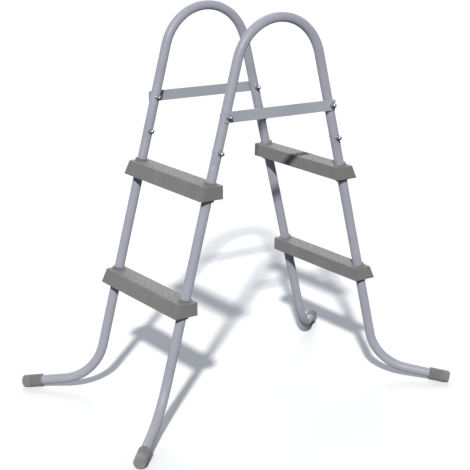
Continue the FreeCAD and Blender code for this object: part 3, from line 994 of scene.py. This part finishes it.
def makeCapNut(name, node, b):
    low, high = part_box(node)
    corner = b["nutWidth"] / math.sqrt(3)
    dome, hexTop = b["nutDomeRadius"], b["nutHexHeight"]
    slope = math.tan(math.radians(30))
    chamferStart = hexTop - b["nutChamfer"] * slope
    profile = np.concatenate((
        [(0, 0), (0, corner - 0.6 * mm), (0.3 * mm, corner)],
        np.stack((np.linspace(0.6 * mm, chamferStart, 8), np.full(8, corner)), 1),
        np.stack((np.linspace(chamferStart + 0.1 * mm, hexTop, 4),
                  corner - np.linspace(0.1 * mm, b["nutChamfer"], 4)), 1),
        [(hexTop + 0.05 * mm, dome + 0.3 * mm)],
        quarterRound((hexTop + 0.45 * mm, dome + 0.4 * mm), 0.4 * mm, 180, 270, 5),
        quarterRound((b["nutHeight"] - dome, 0), dome, 90, 0, 14)))

    def nutShape(radii, theta):
        return np.minimum(radii, hexagonRadius(theta, b["nutWidth"]))

    makeTurned(name, node, (low, high), profile, high.y, -1.0, b["around"], nutShape)


for use in ("crossbar", "joint"):
    for rowName in rows:
        for sideName in sides:
            corner = rowName + "_" + sideName
            makeBolt(use + "_screw_" + corner, use + "_bolt_" + corner, fastener)
            makeWasher(use + "_disc_" + corner, use + "_washer_" + corner, fastener)
            makeCapNut(use + "_dome_" + corner, use + "_nut_" + corner, fastener)
print("fasteners made")

# Treads: a moulded shell with an open underside, sleeves round the tubes, ribs and grip bars

tread = {
    "tops": {"lower": 0.378, "upper": 0.700},
    "height": 0.038,
    "innerReach": 0.0335,               # from the tube's centre at mid height to the upright inner face
    "outerTopReach": 0.0255,
    "outerLowReach": 0.043,
    "endOverhang": 0.026,
    "endDraft": math.radians(2.0),
    "wall": 0.003,
    "topThickness": 0.0036,
    "corner": 0.007,
    "edge": 0.0022,
    "rim": 0.0006,
    "insideRound": 0.0015,
    "sleeveRadius": 0.0195,
    "sleeveClearance": 0.0003,
    "collarStep": 0.0008,
    "collarFillet": 0.004,              # how far from the collar the top starts to rise
    "collarRise": 0.0007,
    "ribThickness": 0.0024,
    "ribRecess": 0.006,
    "ribGap": 0.0048,                   # between the long rib and a sleeve, for the screw's head
    "crossRibs": 5,
    "gripRows": 4,
    "gripPitch": 0.0105,
    "gripLength": 0.024,
    "gripGap": 0.008,
    "gripWidth": 0.003,
    "gripHeight": 0.0009,
    "gripSleeveGap": 0.012,
    "gripEdge": 0.6 * mm,
    "ribEdge": 0.4 * mm,
    "blockCorner": 1.2 * mm,
    "topRows": 17,
    "cornerPoints": 8,
    "widthPoints": 26,
    "sleeveAround": 64,
    "besideSleeve": (-0.029, 0.018, 0.0016),        # from the sleeve's axis: first, last and step
    "margin": 0.5 * mm,                             # from a rounded edge to the next row
}


# Across the tread, place p is measured outward from the tube's centre at mid height. The outer face
# leans, so at height z the tread's middle and half width are found from its inner and outer reach.
def treadAcross(z, topZ, t):
    slope = (t["outerLowReach"] - t["outerTopReach"]) / t["height"]
    outer = t["outerTopReach"] + (topZ - z) * slope
    return (outer - t["innerReach"]) / 2, (outer + t["innerReach"]) / 2


def treadHalfLength(z, topZ, t):
    return halfSpacing + t["endOverhang"] - (z - topZ + t["height"]) * math.tan(t["endDraft"])


def treadMiddleX(topZ, t):
    return arcEndX + (arcEndZ - topZ + t["height"] / 2) * math.tan(lean)


def toTread(side, topZ, p, q, z, t):
    return np.stack((side * (treadMiddleX(topZ, t) + p), q, z), -1)


# Shares of a side's half length, close together beside the sleeves and wide apart elsewhere
def sideShares(length, t):
    beside = (halfSpacing + np.arange(*t["besideSleeve"])) / (length - t["corner"])
    middle = np.linspace(0, beside[0], 9)[:-1]
    positive = np.concatenate((middle, beside[beside < 0.995]))
    return np.concatenate((positive[::-1], -positive[1:]))


# The shell's section as (inset, height): from the top's middle line out, down the wall, round the
# rim, up inside and along the ceiling to its middle line
def makeShell(side, topZ, t):
    low, ceiling = topZ - t["height"], topZ - t["topThickness"]
    edge, rim, inside, wall = t["edge"], t["rim"], t["insideRound"], t["wall"]
    topHalf, ceilingHalf = treadAcross(topZ, topZ, t)[1], treadAcross(ceiling, topZ, t)[1]
    margin, count = t["margin"], t["topRows"]
    section = np.concatenate((
        np.stack((np.linspace(topHalf, edge + margin, count), np.full(count, topZ)), 1),
        quarterRound((edge, topZ - edge), edge, 90, 180, 7),
        np.stack((np.zeros(4), np.linspace(topZ - edge - margin, low + rim + margin, 4)), 1),
        quarterRound((rim, low + rim), rim, 180, 270),
        quarterRound((wall - rim, low + rim), rim, 270, 360),
        np.stack((np.full(3, wall),
                  np.linspace(low + rim + margin, ceiling - inside - margin, 3)), 1),
        quarterRound((wall + inside, ceiling - inside), inside, 180, 90),
        np.stack((np.linspace(wall + inside + margin, ceilingHalf, 4), np.full(4, ceiling)), 1)))
    inset, z = section[:, 0], section[:, 1]
    middle, halfWidth = treadAcross(z, topZ, t)
    halfLength = treadHalfLength(z, topZ, t)
    columns = outlineColumns(t["cornerPoints"], sideShares(float(treadHalfLength(topZ, topZ, t)), t),
                             np.linspace(1, -1, t["widthPoints"])[1:-1])
    q, v = insetOutline(columns, halfLength, halfWidth, t["corner"], inset)
    p = middle[:, None] + v
    heights = np.repeat(z[:, None], q.shape[1], 1)
    heights[:count] += collarRise(p[:count], q[:count], t)
    return surface(toTread(side, topZ, p, q, heights, t), gripTop=np.zeros(p.shape))


# Beside each sleeve the top rises in a small hollow fillet, higher on the outer side
def collarRise(p, q, t):
    atTop = p + t["height"] / 2 * math.tan(lean)
    acrossAxis = atTop * math.cos(lean)
    alongAxis = np.abs(q) - halfSpacing
    distance = np.hypot(acrossAxis, alongAxis) - t["sleeveRadius"]
    outward = np.clip(acrossAxis / t["sleeveRadius"], 0, 1)
    share = np.clip(1 - distance / t["collarFillet"], 0, 1) ** 2 * (distance > -t["rim"])
    return share * t["collarRise"] * (1 + 2 * outward)


def makeSleeve(side, row, topZ, t):
    rise = t["sleeveRadius"] * math.sin(lean) + t["collarStep"]
    top, low = legPoint(side, row, topZ + rise), legPoint(side, row, topZ - t["height"] - rise)
    length, bore = float(np.linalg.norm(top - low)), tubeRadius + t["sleeveClearance"]
    profile = ringProfile(length, t["sleeveRadius"], bore, t["rim"])
    points = turnedSurface(profile, low, -legDown(side), t["sleeveAround"])
    return surface(points, wrapRows=True, gripTop=np.zeros(points.shape[:2]))


# A small closed block: its outline shrinks to its middle line below and, past a rounded edge, above
def makeBlock(side, topZ, centre, half, low, high, edge, t, cornerPoints=3):
    p, q = centre
    narrow = min(half)
    section = np.array([(narrow, low), (0, low), (0, high - edge), (edge * 0.3, high - edge * 0.3),
                        (edge, high), (narrow, high)])
    columns = outlineColumns(cornerPoints)
    u, v = insetOutline(columns, half[0], half[1], min(narrow, t["blockCorner"]), section[:, 0])
    z = np.repeat(section[:, 1:2], u.shape[1], 1)
    return surface(toTread(side, topZ, p + v, q + u, z, t), gripTop=(z > topZ))


def makeGripBars(side, topZ, t):
    step = t["gripLength"] + t["gripGap"]
    reach = halfSpacing - t["sleeveRadius"] - t["gripSleeveGap"]
    middle = (t["outerTopReach"] - t["innerReach"]) / 2
    blocks = []
    for number in range(t["gripRows"]):
        p = middle + (number - (t["gripRows"] - 1) / 2) * t["gripPitch"]
        count = int((2 * reach + t["gripGap"]) // step) - number % 2
        for bar in range(count):
            q = -(count * step - t["gripGap"]) / 2 + bar * step + t["gripLength"] / 2
            blocks.append(makeBlock(side, topZ, (p, q), (t["gripLength"] / 2, t["gripWidth"] / 2),
                                    topZ - t["gripHeight"], topZ + t["gripHeight"], t["gripEdge"], t))
    return blocks


def makeRibs(side, topZ, t):
    low = topZ - t["height"] + t["ribRecess"]
    high = topZ - t["topThickness"] / 2
    middle, halfWidth = treadAcross(high, topZ, t)
    inner, outer = middle - halfWidth, middle + halfWidth
    half = t["ribThickness"] / 2
    longHalf = halfSpacing - t["sleeveRadius"] - t["ribGap"]
    blocks = [makeBlock(side, topZ, (0, 0), (longHalf, half), low, high, t["ribEdge"], t)]
    width = (outer - inner) / 2 - t["wall"] / 2
    spacing = 2 * halfSpacing / (t["crossRibs"] + 1)
    for number in range(t["crossRibs"]):
        q = -halfSpacing + spacing * (number + 1)
        blocks.append(makeBlock(side, topZ, (inner + t["wall"] / 2 + width, q), (half, width),
                                low, high, t["ribEdge"], t))
    return blocks


for sideName, side in sides.items():
    for level, topZ in tread["tops"].items():
        surfaces = [makeShell(side, topZ, tread)] + makeGripBars(side, topZ, tread)
        surfaces += makeRibs(side, topZ, tread)
        surfaces += [makeSleeve(side, row, topZ, tread) for row in rows.values()]
        spot = level + "_" + sideName
        makePiece("step_" + spot, surfaces, "tread_" + spot, "tread_plastic")
print("treads made")

slots = {sub["node"]: sub["material_slot"] for sub in frame["record"]["subparts"]}
for node, cad in frame["nodes"].items():
    cad.data.materials.clear()
    cad.data.materials.append(materials[slots[node]])

print("largest box differences in mm:", sorted(boxDifferences, reverse=True)[:8])
